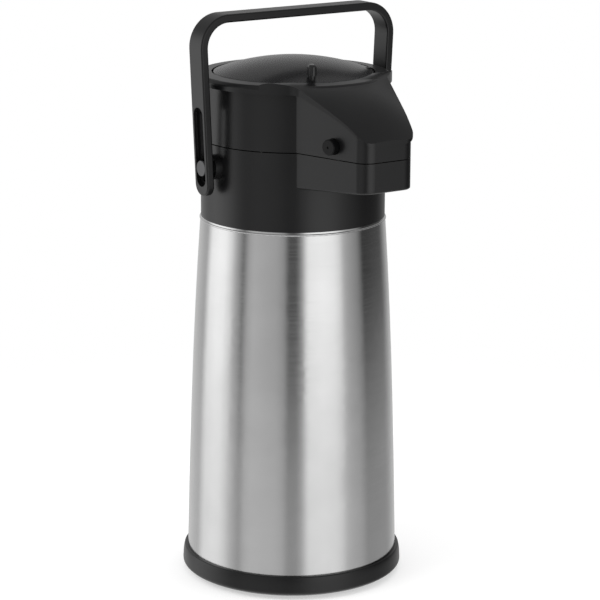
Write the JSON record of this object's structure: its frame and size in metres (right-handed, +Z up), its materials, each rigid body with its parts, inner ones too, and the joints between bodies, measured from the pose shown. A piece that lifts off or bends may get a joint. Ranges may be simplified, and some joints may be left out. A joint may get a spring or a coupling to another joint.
{
  "type": "thermal coffee airpot",
  "caption": "Vacuum-insulated pump airpot: tapered brushed steel body, black collar and hinged lid with press dome, pouring nose, sliding bail handle and swivel base.",
  "frame": {"origin": "on the vessel's axis at the floor, in the middle of the swivel base", "axes": "+Z up, the pouring nose points along -Y, +X to the right seen from in front of the nose"},
  "size_m": [0.1594, 0.1902, 0.4001],
  "materials": {
    "black_plastic": "satin moulded",
    "grey_plastic": "satin moulded",
    "white_plastic": "food grade, satin",
    "steel": "brushed",
    "steel_plain": "plain",
    "spring_steel": "bright",
    "rubber": "matte",
    "silicone": "translucent, matte"
  },
  "bodies": {
    "swivel_base": {"turntable": "black_plastic", "foot_ring": "rubber", "glide_ring": "white_plastic", "swivel_clip": "steel_plain"},
    "flask": {"base_ring": "black_plastic", "body_shell": "steel", "bottom_pan": "steel_plain", "vacuum_seal": "steel_plain", "liner_support": "steel_plain", "vacuum_liner": "steel_plain", "liner_shoulder": "steel_plain", "neck_gasket": "silicone", "neck_nut": "black_plastic", "collar": "black_plastic", "tube_seat": "white_plastic", "dip_tube": "white_plastic", "hinge_pin": "spring_steel"},
    "lid": {"lid_shell": "black_plastic", "lid_floor": "black_plastic", "lid_screws": "spring_steel", "bellows": "rubber", "return_spring": "spring_steel", "stopper": "black_plastic", "stopper_gasket": "silicone", "air_valve": "silicone", "tube_grommet": "silicone", "outlet_pipe": "white_plastic", "spout_nozzle": "black_plastic", "release_spring_left": "spring_steel", "release_spring_right": "spring_steel"},
    "dome": {"press_dome": "black_plastic", "press_plate": "white_plastic"},
    "lock": {"lock_knob": "black_plastic"},
    "release_left": {"release_button_left": "black_plastic", "latch_hook_left": "white_plastic"},
    "release_right": {"release_button_right": "black_plastic", "latch_hook_right": "white_plastic"},
    "handle_pivots": {"handle_pin_left": "grey_plastic", "handle_pin_right": "grey_plastic", "pin_clip_left": "spring_steel", "pin_clip_right": "spring_steel", "handle_washer_left": "white_plastic", "handle_washer_right": "white_plastic"},
    "handle": {"handle": "black_plastic"}
  },
  "joints": [
    {"name": "swivel", "type": "hinge", "parent": "swivel_base", "child": "flask", "pos_m": [0, 0, 0.0046], "axis": [0, 0, 1], "continuous": true},
    {"name": "lid_open", "type": "hinge", "parent": "flask", "child": "lid", "pos_m": [0, 0.0685, 0.3068], "axis": [-1, 0, 0], "range_deg": [0, 20]},
    {"name": "dome_press", "type": "slide", "parent": "lid", "child": "dome", "axis": [0, 0, -1], "range_m": [0, 0.018], "stiffness_N_per_m": 400, "springref_m": -0.004, "deforming": ["bellows", "return_spring"]},
    {"name": "lock_turn", "type": "hinge", "parent": "dome", "child": "lock", "pos_m": [-0.01666, -0.04576, 0.358], "axis": [0, 0, 1], "range_deg": [-90, 0]},
    {"name": "release_press_left", "type": "slide", "parent": "lid", "child": "release_left", "axis": [0.9703, 0.2419, 0], "range_m": [0, 0.003], "stiffness_N_per_m": 300, "springref_m": -0.002, "deforming": ["release_spring_left"]},
    {"name": "release_press_right", "type": "slide", "parent": "lid", "child": "release_right", "axis": [-0.9703, 0.2419, 0], "range_m": [0, 0.003], "stiffness_N_per_m": 300, "springref_m": -0.002, "deforming": ["release_spring_right"]},
    {"name": "handle_swing", "type": "hinge", "parent": "flask", "child": "handle_pivots", "pos_m": [0, 0, 0.2964], "axis": [-1, 0, 0], "range_deg": [-40, 95]},
    {"name": "handle_slide", "type": "slide", "parent": "handle_pivots", "child": "handle", "axis": [0, 0, -1], "range_m": [-0.006, 0.025]}
  ]
}
